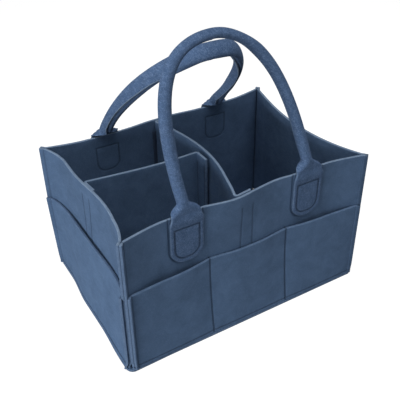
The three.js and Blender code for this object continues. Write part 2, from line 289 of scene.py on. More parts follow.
def feltFibres():
    # Matted fibres: Tone is the cloudy colour, Fibre the light strands, Height the nap
    tree = bpy.data.node_groups.new("feltFibres", "ShaderNodeTree")
    for name, start in (("Cloud Size", 45.0), ("Fibre Size", 900.0), ("Strand Size", 420.0)):
        tree.interface.new_socket(name, in_out="INPUT", socket_type="NodeSocketFloat").default_value = start
    tree.interface.new_socket("Place", in_out="INPUT", socket_type="NodeSocketVector")
    for name in ("Tone", "Fibre", "Height"):
        tree.interface.new_socket(name, in_out="OUTPUT", socket_type="NodeSocketFloat")
    given = node(tree, "NodeGroupInput").outputs

    def noise(place, size, detail, roughness, distortion):
        values = {"Vector": place, "Scale": size, "Detail": detail, "Roughness": roughness}
        return node(tree, "ShaderNodeTexNoise", {**values, "Distortion": distortion}).outputs["Fac"]

    def most(first, second):
        return node(tree, "ShaderNodeMath", {0: first, 1: second}, operation="MAXIMUM").outputs[0]

    cloud = noise(given["Place"], given["Cloud Size"], 4.0, 0.62, 0.6)
    nap = noise(given["Place"], given["Fibre Size"], 5.0, 0.7, 1.4)
    strands = []
    for turn in ((0.35, 0.2, 0.0), (1.3, -0.4, 0.9), (-0.8, 0.7, 2.1)):
        laid = {"Vector": given["Place"], "Rotation": turn, "Scale": (1.0, 0.16, 1.0)}
        lay = node(tree, "ShaderNodeMapping", laid).outputs["Vector"]
        strand = noise(lay, given["Strand Size"], 2.0, 0.5, 2.2)
        ridge = {"Value": strand, "From Min": 0.56, "From Max": 0.68}
        strands.append(node(tree, "ShaderNodeMapRange", ridge, clamp=True).outputs["Result"])
    fibre = most(most(strands[0], strands[1]), strands[2])
    height = node(tree, "ShaderNodeMath", {0: fibre, 1: 0.45, 2: nap}, operation="MULTIPLY_ADD")
    node(tree, "NodeGroupOutput", {"Tone": cloud, "Fibre": fibre, "Height": height.outputs[0]})
    return tree


fibres = feltFibres()


def feltMaterial(name, dark, light, strand, cloud=45.0, flecks=0.30, sheen=0.2):
    # dark and light are the two ends of the cloudy colour, strand the colour of the pale fibres;
    # painted shade darkens the felt in the grooves where a row of stitches or a tab presses it in
    made, tree = newMaterial(name)
    place = node(tree, "ShaderNodeTexCoord").outputs["Object"]
    felted = node(tree, "ShaderNodeGroup", {"Place": place, "Cloud Size": cloud}, node_tree=fibres).outputs
    spread = {"Value": felted["Tone"], "From Min": 0.32, "From Max": 0.68}
    cloudiness = node(tree, "ShaderNodeMapRange", spread).outputs["Result"]
    cloudy = mixed(tree, cloudiness, (*dark, 1.0), (*light, 1.0))
    faint = node(tree, "ShaderNodeMath", {0: felted["Fibre"], 1: flecks}, operation="MULTIPLY")
    stranded = mixed(tree, faint.outputs[0], cloudy, (*strand, 1.0))
    # crease is painted shade: the further the face is pressed in, the darker its colour
    crease = node(tree, "ShaderNodeAttribute", attribute_name="crease").outputs["Fac"]
    shadeShare = node(tree, "ShaderNodeMapRange", {"Value": crease, "To Max": 0.55}).outputs["Result"]
    nap = node(tree, "ShaderNodeBump", {"Height": felted["Height"], "Strength": 0.6, "Distance": 0.00035})
    fill(tree, tree.nodes["Principled BSDF"], {
        "Base Color": mixed(tree, shadeShare, stranded, (*(0.3 * c for c in dark), 1.0)),
        "Normal": nap.outputs["Normal"],
        "Roughness": 0.93,
        "Specular IOR Level": 0.18,
        "Sheen Weight": sheen,
        "Sheen Roughness": 0.55,
        "Sheen Tint": (*strand, 1.0),
    })
    return made


def patterned(tree, pattern, colour, shade, bump, looks):
    # The pattern shades the colour and raises the surface
    shading = node(tree, "ShaderNodeMapRange", {"Value": pattern, **shade}).outputs["Result"]
    raised = node(tree, "ShaderNodeBump", {"Height": pattern, **bump})
    fill(tree, tree.nodes["Principled BSDF"], {
        "Base Color": mixed(tree, 1.0, (*colour, 1.0), shading, "MULTIPLY"),
        "Normal": raised.outputs["Normal"],
        **looks,
    })


def threadMaterial(name, colour):
    # Twisted thread: a fine slanting ridge along each stitch
    made, tree = newMaterial(name)
    place = node(tree, "ShaderNodeTexCoord").outputs["Object"]
    twist = {"Vector": place, "Scale": 900.0, "Distortion": 1.0}
    patterned(
        tree,
        node(tree, "ShaderNodeTexWave", twist, bands_direction="DIAGONAL").outputs["Fac"],
        colour,
        shade={"To Min": 0.75, "To Max": 1.1},
        bump={"Strength": 0.5, "Distance": 0.0001},
        looks={"Roughness": 0.7, "Specular IOR Level": 0.1},
    )
    return made


def tapeMaterial(name, colour, hooks):
    # Hook tape has even rows of hooks, loop tape a tangled pile
    made, tree = newMaterial(name)
    place = node(tree, "ShaderNodeTexCoord").outputs["Object"]
    if hooks:
        pile = node(tree, "ShaderNodeTexVoronoi", {"Vector": place, "Scale": 620.0, "Randomness": 0.12})
    else:
        tangle = {"Vector": place, "Scale": 800.0, "Detail": 5.0, "Distortion": 3.0}
        pile = node(tree, "ShaderNodeTexNoise", tangle)
    patterned(
        tree,
        pile.outputs["Distance" if hooks else "Fac"],
        colour,
        shade={"From Max": 0.8, "To Min": 0.6, "To Max": 1.25},
        bump={"Strength": 0.8, "Distance": 0.0004},
        looks={
            "Roughness": 0.75,
            "Specular IOR Level": 0.3 if hooks else 0.1,
            "Sheen Weight": 0.0 if hooks else 0.3,
            "Sheen Tint": (*(3 * c for c in colour), 1.0),
        },
    )
    return made


slate = feltMaterial("slateFelt", (0.058, 0.106, 0.194), (0.080, 0.140, 0.250), (0.130, 0.200, 0.320))
wallFelt = feltMaterial("wallFelt", (0.054, 0.098, 0.179), (0.074, 0.129, 0.231), (0.122, 0.188, 0.300))
handleFelt = feltMaterial(
    "handleFelt", (0.041, 0.077, 0.154), (0.061, 0.110, 0.212), (0.17, 0.25, 0.40), cloud=150.0, flecks=0.45
)
# Cut top edges: their fibres are paler than the face, and the colour is lightened further as painted light
# from above
paleLitRimEdge = feltMaterial(
    "cutRimEdge", (0.122, 0.181, 0.276), (0.169, 0.238, 0.345), (0.27, 0.35, 0.46), cloud=160.0, sheen=0.3
)
sideEdge = feltMaterial(
    "cutSideEdge", (0.070, 0.118, 0.205), (0.098, 0.155, 0.258), (0.17, 0.24, 0.36), cloud=160.0, sheen=0.3
)
thread = threadMaterial("slateThread", (0.060, 0.095, 0.165))
hookTape = tapeMaterial("hookTape", (0.030, 0.048, 0.085), True)
loopTape = tapeMaterial("loopTape", (0.040, 0.062, 0.110), False)
print("materials made")


# Felt sheets

def spaced(low, high, cell):
    return np.linspace(low, high, max(int(round((high - low) / cell)), 1) + 1)


def withLines(values, lines, offsets=(-2.6, -1.5, -0.85, -0.4, 0.0, 0.4, 0.85, 1.5, 2.6)):
    # Closer lines where a row of stitches presses into the felt
    low, high = values[0], values[-1]
    near = [line + o for line in lines for o in offsets if low < line + o < high]
    if not near:
        return values
    near = np.array(sorted(near))
    far = [v for v in values if np.abs(near - v).min() > 0.9 or v in (low, high)]
    return np.unique(np.concatenate([far, near]))


def withSoftEnds(values, soft):
    low, high = values[0], values[-1]
    inner = values[(values > low + 1.6 * soft) & (values < high - 1.6 * soft)]
    return np.concatenate(
        [[low, low + 0.3 * soft, low + soft], inner, [high - soft, high - 0.3 * soft, high]]
    )


def softPull(values, soft):
    # How much thinner the felt is at each line, so that its cut edges are rounded
    near = np.minimum(values - values[0], values[-1] - values)
    short = np.clip(soft - near, 0, soft)
    return soft - np.sqrt(np.maximum(soft**2 - short**2, 0))


def feltSheet(
    name, across, up, place, thickness=felt, materials=None, relief=None, sideRound=caddy["edgeRound"]
):
    # place(u, v) gives the middle of the felt and the way its face looks;
    # relief(u, v) gives how far each face is pressed in, outer then inner, and the painted shade in the
    # grooves follows it
    soft = caddy["edgeRound"] * thickness / felt
    sideSoft = sideRound * thickness / felt
    across = withSoftEnds(across, sideSoft)
    up = withSoftEnds(up, soft)
    u, v = np.meshgrid(across, up)
    middle, facing = place(u, v)
    half = thickness / 2 - np.maximum(softPull(u[0], sideSoft)[None, :], softPull(v[:, 0], soft)[:, None])
    outerIn, innerIn = relief(u, v) if relief else (0.0, 0.0)
    outer = middle + facing * (half - outerIn)[..., None]
    inner = middle - facing * (half - innerIn)[..., None]
    rows, columns = u.shape
    points = np.concatenate([outer.reshape(-1, 3), inner.reshape(-1, 3)]) * mm
    count = rows * columns
    index = np.arange(count).reshape(rows, columns)
    a, b, c, d = index[:-1, :-1], index[:-1, 1:], index[1:, 1:], index[1:, :-1]
    cells = np.stack([a, b, c, d], -1).reshape(-1, 4)
    back = np.stack([d, c, b, a], -1).reshape(-1, 4) + count
    row, column = np.mgrid[0 : rows - 1, 0 : columns - 1]
    lowOrSide = (row < 2) | (column < 2) | (column >= columns - 3)
    # Cells on the rounded top edge take the rim edges' material with its painted light, those on the low and
    # side edges the side edges' material
    kind = np.where(lowOrSide, 2, np.where(row >= rows - 3, 1, 0)).ravel()
    loop = np.concatenate([index[0, :], index[1:, -1], index[-1, -2::-1], index[-2:0:-1, 0]])
    following = np.roll(loop, -1)
    edge = np.stack([following, loop, loop + count, following + count], -1)
    faces = np.concatenate([cells, back, edge])
    onTop = (edge[:, :2] >= count - columns).all(1)
    kinds = np.concatenate([kind, kind, np.where(onTop, 1, 2)])
    uv = np.concatenate([np.stack([u, v], -1).reshape(-1, 2)] * 2) * mm
    crease = np.concatenate([np.broadcast_to(d, u.shape).ravel() for d in (outerIn, innerIn)])
    return meshPiece(name, points, faces, kinds, materials or (slate, paleLitRimEdge, sideEdge), uv, crease)


def meshPiece(name, points, faces, kinds, materials, uv, crease):
    corners = points[faces[:, :3]]
    volume = (corners[:, 0] * np.cross(corners[:, 1], corners[:, 2])).sum()
    rest = points[faces[:, [0, 2, 3]]]
    volume += (rest[:, 0] * np.cross(rest[:, 1], rest[:, 2])).sum()
    if volume < 0:
        faces = faces[:, ::-1]
    mesh = bpy.data.meshes.new(name)
    mesh.vertices.add(len(points))
    mesh.vertices.foreach_set("co", points.astype(np.float32).ravel())
    mesh.loops.add(faces.size)
    mesh.loops.foreach_set("vertex_index", faces.astype(np.int32).ravel())
    mesh.polygons.add(len(faces))
    mesh.polygons.foreach_set("loop_start", np.arange(0, faces.size, 4, dtype=np.int32))
    mesh.polygons.foreach_set("material_index", kinds.astype(np.int32))
    mesh.polygons.foreach_set("use_smooth", np.ones(len(faces), bool))
    for material in materials:
        mesh.materials.append(material)
    layer = mesh.uv_layers.new(name="UVMap")
    layer.data.foreach_set("uv", uv[faces.ravel()].astype(np.float32).ravel())
    # Painted shade: each point's share of a stitch groove's depth, which the felt materials use to darken it
    marks = mesh.attributes.new("crease", "FLOAT", "POINT")
    marks.data.foreach_set("value", np.clip(crease / stitch["groove"], 0, 1).astype(np.float32))
    mesh.update(calc_edges=True)
    mesh.validate()
    return placed(name, mesh)


# Rows of stitches: each is a line of points on a face, with the way that the face looks

sewnBodies = ("caddy", "front_handle", "back_handle", "cross_divider", "small_divider")
stitchRows = {body: [] for body in sewnBodies}


def addRow(body, points, facing, closed=False):
    points = np.asarray(points, float)
    facing = np.broadcast_to(np.asarray(facing, float), points.shape)
    if closed:
        points = np.concatenate([points, points[:1]])
        facing = np.concatenate([facing, facing[:1]])
    stitchRows[body].append((points, unit(facing)))


def grooveAt(distance):
    return stitch["groove"] * np.exp(-((distance / stitch["grooveHalf"]) ** 2))


def bump2d(x, y, seed, size, height):
    # A gentle unevenness made of a few crossing waves
    rng = np.random.RandomState(seed)
    total = np.zeros(np.broadcast(x, y).shape)
    for _ in range(6):
        turn, phase = rng.uniform(0, 2 * math.pi, 2)
        length = size * rng.uniform(0.7, 1.8)
        total = total + np.sin((x * math.cos(turn) + y * math.sin(turn)) * 2 * math.pi / length + phase)
    return total * height / 6


# The D-shaped row that holds a handle's end, measured from the middle of the wall's rim

def roundedD(inset, top, bottom, step=1.5):
    half = handles["stripWidth"] / 2 - inset
    corner = handles["tabCorner"] - inset
    turn = np.linspace(0, math.pi / 2, 9)
    right = [(half - corner + corner * math.cos(t), bottom + corner - corner * math.sin(t)) for t in turn]
    left = [(-x, z) for x, z in reversed(right)]
    line = np.array([(-half, top), (half, top), *right, *left])
    line = np.concatenate([line, line[:1]])
    run = runAlong(line)
    return pointsAt(np.linspace(0, run[-1], int(run[-1] / step) + 1)[:-1], run, line)


dLines = {
    side: roundedD(handles["stitchInset"], -handles["stitchTop"], -foot)
    for side, foot in (
        ("front", handles["tabLength"] - handles["stitchInset"]),
        ("back", handles["backStitchFoot"]),
    )
}
tabOutline = roundedD(-handles["tabShadow"], 12.0, -handles["tabLength"] - handles["tabShadow"])


def distanceTo(outline, x, z):
    margin = handles["tabMargin"]
    close = (np.abs(x) < handles["stripWidth"] / 2 + margin) & (z < 2) & (z > -handles["tabLength"] - margin)
    found = np.full(np.broadcast(x, z).shape, 99.0)
    here = np.stack([x[close], z[close]], -1)
    if len(here):
        start, finish = outline, np.roll(outline, -1, axis=0)
        run = finish - start
        t = np.einsum("pkc,kc->pk", here[:, None] - start[None], run) / (run**2).sum(1)
        nearest = start[None] + np.clip(t, 0, 1)[..., None] * run[None]
        found[close] = np.linalg.norm(here[:, None] - nearest, axis=-1).min(1)
    return found


# Walls and pockets

def leanShare(z):
    return np.sin(np.pi / 2 * np.minimum(z / caddy["pocketTop"], 1))


def twistAt(along, side):
    # The taped divider turns the wall a little, more so towards the rim
    reach = caddy[f"{side}TwistReach"]
    near = np.abs(along) < reach
    return np.where(near, caddy[f"{side}Twist"] * np.sin(np.pi * along / reach), 0.0)


def twistShare(z):
    return smooth((z - caddy["pocketTop"]) / caddy["twistRise"])


def backLean(x, z):
    fromTab = np.maximum(np.abs(np.abs(x) - handles["spacing"] / 2) - caddy["dipFlatHalf"], 0)
    dip = np.where(fromTab < caddy["dipFade"], (1 + np.cos(np.pi * fromTab / caddy["dipFade"])) / 2, 0)
    bow = caddy["longWallBow"] * (1 - np.abs(x / halfLength) ** caddy["longBowSharpness"])
    return (bow + caddy["tabDip"] * dip) * leanShare(z)


def frontLean(x, z):
    return backLean(x, z) + twistAt(x, "front") * twistShare(z)


def leftLean(along, z):
    lean = caddy["leftWallBow"] * (1 - np.abs(along / halfWidth) ** caddy["leftBowSharpness"])
    return lean * np.sin(np.pi / 2 * z / caddy["wallTop"]) + twistAt(along, "left") * twistShare(z)


def rightLean(along, z):
    lean = caddy["rightWallBow"] * (1 - (along / halfWidth) ** 2)
    return lean * (1 - caddy["rightBowSkew"] * along / halfWidth) * leanShare(z)


sides = {
    "front": {"half": halfLength, "away": halfWidth, "turn": 0.0, "lean": frontLean},
    "back": {"half": halfLength, "away": halfWidth, "turn": math.pi, "lean": backLean},
    "left": {"half": halfWidth, "away": halfLength, "turn": -math.pi / 2, "lean": leftLean},
    "right": {"half": halfWidth, "away": halfLength, "turn": math.pi / 2, "lean": rightLean},
}


def turned(points, angle):
    c, s = math.cos(angle), math.sin(angle)
    x, y, z = points[..., 0], points[..., 1], points[..., 2]
    return np.stack([x * c - y * s, x * s + y * c, z], -1)


def sagShare(toNear):
    return smooth((toNear - nearCorner["sagFrom"]) / nearCorner["sagLength"])


def frontOutShare(toLeft):
    return smooth((toLeft - nearCorner["frontOutFrom"]) / nearCorner["frontOutLength"])


def footOut(side, along, z):
    # The sewn foot turns out a little, and most beside the near left corner
    turnOut = caddy["footTurn"]
    if side == "left":
        turnOut = turnOut + nearCorner["sag"] * sagShare(along)
    if side == "front":
        turnOut = turnOut + nearCorner["frontOut"] * frontOutShare(-along)
    return turnOut * (1 - smooth((z - wallFoot) / caddy["footTurnHeight"]))


def drawnIn(points):
    # The far left corner leans in towards its foot
    x, y, z = points[..., 0], points[..., 1], points[..., 2]
    near = smooth((-x - halfLength) / farCorner["across"] + 1)
    near = near * smooth((y - farCorner["from"]) / farCorner["length"])
    shift = farCorner["drawnIn"] * near * np.clip(1 - z / farCorner["height"], 0, 1)
    return np.stack([x + shift, y, z], -1)


def plyPath(side, inner):
    # The middle of one ply seen from above: straight, then round into the corner's seam flange
    half = sides[side]["half"]
    middle = inner + felt / 2
    seam = inner + caddy["gap"] / 2 + felt / 2
    radius = caddy["seamRadius"]
    cut = radius * math.tan(math.pi / 8)
    straight = half + middle - seam * math.sqrt(2) - cut
    bend = radius * math.pi / 4
    longest = caddy["seamFlange"] + seam - math.sqrt(2) * middle - cut
    cutBack = caddy["leftWallCutBack"] if side == "left" and inner == 0 else 0.0
    return {"middle": middle, "seam": seam, "radius": radius, "cut": cut, "cutBack": cutBack,
            "straight": straight, "bend": bend, "longest": longest, "whole": straight + bend + longest}


def plyPlan(path, u, z):
    # along, out and the facing of the ply at u, measured on the felt from the middle of the wall
    side, far = np.sign(u), np.abs(u)
    turn = np.clip((far - path["straight"]) / path["radius"], 0, math.pi / 4)
    along = np.minimum(far, path["straight"]) + path["radius"] * np.sin(turn)
    out = path["middle"] + path["radius"] * (1 - np.cos(turn))
    risen = smooth((z - wallFoot) / caddy["seamFlangeRise"])
    flange = lerp(caddy["seamFlangeFoot"], caddy["seamFlange"], risen)
    # The left wall's near edge lies a little back between its pocket and the front wall
    flange = flange - path["cutBack"] * (side > 0) * smooth((caddy["pocketTop"] - z) / 5)
    reach = flange + path["seam"] - math.sqrt(2) * path["middle"] - path["cut"]
    past = np.clip((far - path["straight"] - path["bend"]) / path["longest"], 0, 1) * reach
    along = along + past / math.sqrt(2)
    out = out + past / math.sqrt(2)
    facing = np.stack([-side * np.sin(turn), -np.cos(turn), np.zeros_like(turn)], -1)
    return side * along, out, facing


def gapeOf(lines, gapes):
    def gape(along, z):
        total = np.zeros_like(along)
        for low, high, most in zip(lines[:-1], lines[1:], gapes):
            t = np.clip((along - low) / (high - low), 0, 1)
            total = total + most * np.sin(np.pi * t)
        return total * leanShare(z) ** caddy["gapeSharpness"]
    return gape


seamAt = caddy["pocketSeamAt"]
longEnd, shortEnd = halfLength - felt, halfWidth - felt
gapes = {
    "long": gapeOf(
        (-longEnd, -seamAt, seamAt, longEnd),
        (caddy["outerPocketGape"], caddy["middlePocketGape"], caddy["outerPocketGape"]),
    ),
    "left": gapeOf((-shortEnd, shortEnd), (caddy["leftPocketGape"],)),
    "right": gapeOf((-shortEnd, shortEnd), (caddy["rightPocketGape"],)),
}


def onWall(side, along, out, z):
    lean = sides[side]["lean"](np.clip(along, -sides[side]["half"], sides[side]["half"]), z)
    out = out + footOut(side, along, z)
    points = np.stack([along, -(sides[side]["away"] + out) + lean, z], -1)
    return drawnIn(turned(points, sides[side]["turn"]))


tapeAt = {
    "front": dividers["crossWallTapeX"],
    "back": -dividers["crossWallTapeX"],
    "left": dividers["tabLength"] / 2 - dividers["smallLeftFoldY"],
}


def cutOf(side, pocket):
    # One wall or pocket strip: its path round the corners, its top and the rows sewn through it
    path = plyPath(side, pocketInside if pocket else 0.0)
    isLong = side in ("front", "back")
    taped = side in tapeAt and not pocket
    return {
        "name": f"{side}_{'pocket' if pocket else 'wall'}",
        "side": side,
        "pocket": pocket,
        "path": path,
        "top": caddy["pocketTop"] if pocket else caddy["wallTop"],
        "gape": gapes["long" if isLong else side],
        "seams": [-seamAt, seamAt] if isLong else [],
        "tapeSeams": [tapeAt[side] - tapeSeamHalf, tapeAt[side] + tapeSeamHalf] if taped else [],
        "tabs": [-handles["spacing"] / 2, handles["spacing"] / 2] if isLong and not pocket else [],
        "flangeRow": path["whole"] - caddy["flangeRowInset"],
    }


def wallCells(cut):
    # Lines across and up the felt, closer at the tabs, the rows of stitches and the corner flanges
    straight, whole, top = cut["path"]["straight"], cut["path"]["whole"], cut["top"]
    across = [spaced(-whole, whole, caddy["cell"])]
    byTab = handles["stripWidth"] / 2 + handles["tabMargin"]
    across += [spaced(tab - byTab, tab + byTab, caddy["fineCell"]) for tab in cut["tabs"]]
    across = withLines(np.unique(np.concatenate(across).round(3)), cut["seams"] + cut["tapeSeams"])
    edge = spaced(straight, whole, caddy["edgeCell"])
    inner = across[np.abs(across) < straight - 0.4]
    across = np.unique(np.concatenate([-edge, inner, edge]).round(3))
    up = withLines(spaced(wallFoot, top, caddy["cell"]), [caddy["footRow"]])
    if cut["tabs"]:
        low = top - handles["tabLength"] - handles["tabMargin"]
        up = np.unique(np.concatenate([up[up < low], spaced(low, top, caddy["fineCell"])]).round(3))
    return across, up


def wallPlace(cut):
    side, pocket, path = cut["side"], cut["pocket"], cut["path"]

    def place(u, v):
        along, out, facing = plyPlan(path, u, v)
        if pocket:
            out = out + cut["gape"](along, v)
        seed = 5 + len(side) + 7 * pocket
        wave = bump2d(u, v, seed, caddy["waveLength"], caddy["wave"])
        still = (1 - smooth((np.abs(u) - path["straight"] + 12) / 12)) * smooth((v - wallFoot) / 20)
        out = out + wave * still * (1.0 if pocket else 0.6)
        return onWall(side, along, out, v), turned(facing, sides[side]["turn"])

    return place


def wallRelief(cut):
    side, pocket, path, top = cut["side"], cut["pocket"], cut["path"], cut["top"]
    shadedThinEnd = {"front": 1, "right": -1}.get(side, 0)

    def relief(u, v):
        along = plyPlan(path, u, v)[0]
        pressed = np.zeros_like(u)
        for line in cut["seams"]:
            inSeam = 1 - smooth((v - caddy["pocketTop"]) / 2)
            pressed = pressed + grooveAt(u - line) * inSeam * (1.2 if pocket else 1.0)
        inTape = smooth((v - dividers["tapeFoot"]) / 2) * (1 - smooth((v - tapeTop) / 2))
        for line in cut["tapeSeams"]:
            pressed = pressed + grooveAt(u - line) * inTape * 0.55
        for tab in cut["tabs"]:
            pressed = pressed + grooveAt(distanceTo(dLines[side], along - tab, v - top))
        sewnIn = np.where(u < 0, 1.0, 0.35) if cut["seams"] else 0.3
        pressed = pressed + grooveAt(np.abs(u) - cut["flangeRow"]) * sewnIn
        pressed = pressed + grooveAt(v - caddy["footRow"]) * 0.7
        # The cut edges at the near right corner are pressed thin and get painted shade
        intoEdge = 1 - (path["whole"] - u * shadedThinEnd) / caddy["edgeShadedThinWidth"]
        pressed = pressed + caddy["edgeShadedThin"] * smooth(1.7 * intoEdge)
        # A groove round each tab's outline, which also paints shade where the tab's edge meets the wall
        tabEdgeShade = sum(grooveAt(distanceTo(tabOutline, along - tab, v - top)) for tab in cut["tabs"])
        return pressed + tabEdgeShade, pressed * 0.8

    return relief


def sewWall(cut, place):
    def row(u, v, outside=True):
        u, v = np.broadcast_arrays(np.asarray(u, float), np.asarray(v, float))
        middle, facing = place(u, v)
        sign = 1.0 if outside else -1.0
        addRow("caddy", middle + sign * facing * (felt / 2 - stitch["groove"] * 0.35), sign * facing)

    top, pocketTop, flangeRow = cut["top"], caddy["pocketTop"], cut["flangeRow"]
    if cut["pocket"]:
        for line in cut["seams"]:
            row(line, np.linspace(wallFoot + 5, top - 1.5, 40))
        row(np.linspace(-flangeRow, flangeRow, 160), caddy["footRow"])
    for end in (-flangeRow, flangeRow):
        row(end, np.linspace(9.5, top - 2, 40) if cut["pocket"] else np.linspace(pocketTop + 2, top - 2, 30))
    if cut["pocket"]:
        return
    for line in cut["seams"]:
        row(line, np.linspace(wallFoot + 5, pocketTop - 1.5, 40), outside=False)
    for line in cut["tapeSeams"]:
        row(line, np.linspace(dividers["tapeFoot"] + 1, tapeTop - 1, 50))
    for tab in cut["tabs"]:
        line = np.concatenate([dLines[cut["side"]], dLines[cut["side"]][:1]])
        row(tab + line[:, 0], top + line[:, 1], outside=False)


def wallOrPocket(side, pocket):
    cut = cutOf(side, pocket)
    place = wallPlace(cut)
    piece = feltSheet(
        f"{cut['name']}_felt",
        *wallCells(cut),
        place,
        materials=(slate, sideEdge, sideEdge) if pocket else (wallFelt, paleLitRimEdge, sideEdge),
        relief=wallRelief(cut),
        sideRound=caddy["cutEdgeRound"],
    )
    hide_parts(cut["name"])
    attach(piece, "caddy")
    sewWall(cut, place)


for side in sides:
    wallOrPocket(side, False)
    wallOrPocket(side, True)
print("walls and pockets made")


# Floor panel

def floorPlace(u, v):
    radius = caddy["floorCorner"]
    halfX, halfY = halfLength + floorReach, halfWidth + floorReach
    over = np.maximum(np.abs(v) - (halfY - radius), 0)
    x = u * (1 - (radius - np.sqrt(np.maximum(radius**2 - over**2, 0))) / halfX)
    y = v - nearCorner["frontOut"] * frontOutShare(-x) * smooth((-v - 60) / 50)
    x = x - nearCorner["sag"] * sagShare(-v) * smooth((-x - 120) / 40)
    points = np.stack([x, y, np.full_like(x, felt / 2)], -1)
    return drawnIn(points), np.broadcast_to(np.array([0.0, 0.0, 1.0]), points.shape)


def floorPanel():
    halfX, halfY = halfLength + floorReach, halfWidth + floorReach
    turn = np.linspace(0, math.pi / 2, 9)
    corner = caddy["floorCorner"] * (1 - np.sin(turn))
    up = np.concatenate([-halfY + corner, spaced(-halfY + 12, halfY - 12, 5.0), halfY - corner])
    across = np.concatenate([-halfX + corner, spaced(-halfX + 12, halfX - 12, 5.0), halfX - corner])
    piece = feltSheet("floor_felt", np.unique(across.round(3)), np.unique(up.round(3)), floorPlace)
    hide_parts("floor_panel")
    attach(piece, "caddy")


floorPanel()
print("floor made")


# Handles, each one strip from the foot of one tab to the foot of the other

frontHandle = {
    "inward": 1,
    "rolledWidth": 31.3,
    "rollLength": 12.5,
    "rise": 166.5,
    "roundness": 2.68,
    "lean": math.radians(19.7),
    "skew": 0.104,
    "crownRise": 3.7,
    "crownAt": -12.0,  # along x
    "crownReach": 30.0,
    "crownWidening": 0.0,
    "proudSides": (1, 1),
    "pressStart": (148.0, 148.0),
    "pressLength": (34.0, 34.0),
    "pressTurn": math.radians(90),
    "pressedWidth": 1.12,
    "pressedDepth": 0.74,
}
backHandle = {
    "inward": -1,
    "rolledWidth": 40.0,
    "rollLength": 7.5,
    "leftLean": math.radians(33.9),
    "leftReach": 164.0,
    "rightLean": math.radians(44.8),
    "rightReach": 273.5,
    "leftSeamStart": 0.3,
    "leftSeamEnd": 0.5,
    "rightSeamStart": 0.21,
    "rightSeamEnd": 0.46,
    "leftSeamSway": -0.34,
    "rightSeamSway": 0.52,
    "swayIn": 25.0,
    "swayOutFrom": 50.0,
    "swayOut": 100.0,
    "proudSides": (1, -1),
    "crownRise": 3.8,
    "crownAt": 0.67,  # as a share of the arch, like the seam's starts and ends
    "crownReach": 0.075,
    "crownWidening": 0.13,
    "pressStart": (25.0, 2.0),  # from the left foot and from the right one
    "pressLength": (85.0, 60.0),
    "pressTurn": math.radians(-55),
    "pressedWidth": 1.3,
    "pressedDepth": 0.67,
}


def frontArch():
    look = frontHandle
    t = np.linspace(0, math.pi, 900)
    power = 2 / look["roundness"]
    up = look["rise"] * np.sin(t) ** power
    along = -np.sign(np.cos(t)) * handles["spacing"] / 2 * np.abs(np.cos(t)) ** power - look["skew"] * up
    crown = np.exp(-(((along - look["crownAt"]) / look["crownReach"]) ** 2)) * (up / up.max()) ** 4
    up = up + look["crownRise"] * crown
    y, z = up * math.sin(look["lean"]) - stripMiddle, up * math.cos(look["lean"]) + handles["foot"]
    return np.stack([along, y, z], -1)


def backArch():
    t = np.linspace(0, 1, 600)[:, None]
    roots = [np.array([s * handles["spacing"] / 2, stripMiddle, handles["foot"]]) for s in (-1, 1)]
    reach = []
    for side in ("left", "right"):
        lean = backHandle[f"{side}Lean"]
        reach.append(np.array([0.0, -math.sin(lean), math.cos(lean)]) * backHandle[f"{side}Reach"])
    a, d = roots
    b, c = a + reach[0], d + reach[1]
    rise = backHandle["crownRise"] * np.exp(-(((t - backHandle["crownAt"]) / backHandle["crownReach"]) ** 2))
    line = a * (1 - t) ** 3 + 3 * b * t * (1 - t) ** 2 + 3 * c * t**2 * (1 - t) + d * t**3
    return line + rise * np.array([0.0, 0.0, 1.0])


def frontSeam(share, fromEnd):
    # How far the roll's seam has turned from the wall's side to the inner side of the arch
    return smooth(fromEnd / handles["turnLength"])


def backSeam(share, fromEnd):
    # On each leg the seam sways aside low down and goes under the tube further up
    def seam(side, along):
        start, finish = backHandle[f"{side}SeamStart"], backHandle[f"{side}SeamEnd"]
        return smooth((along - start) / (finish - start)) + backHandle[f"{side}SeamSway"] * sway

    sway = smooth(fromEnd / backHandle["swayIn"])
    sway = sway * (1 - smooth((fromEnd - backHandle["swayOutFrom"]) / backHandle["swayOut"]))
    return np.where(share < 0.5, seam("left", share), seam("right", 1 - share))


frontHandle.update(line=frontArch(), seam=frontSeam)
backHandle.update(line=backArch(), seam=backSeam)
for look in (frontHandle, backHandle):
    look["length"] = runAlong(look["line"])[-1]


def squareTo(v, way):
    return unit(v - (v * way).sum(-1, keepdims=True) * way)


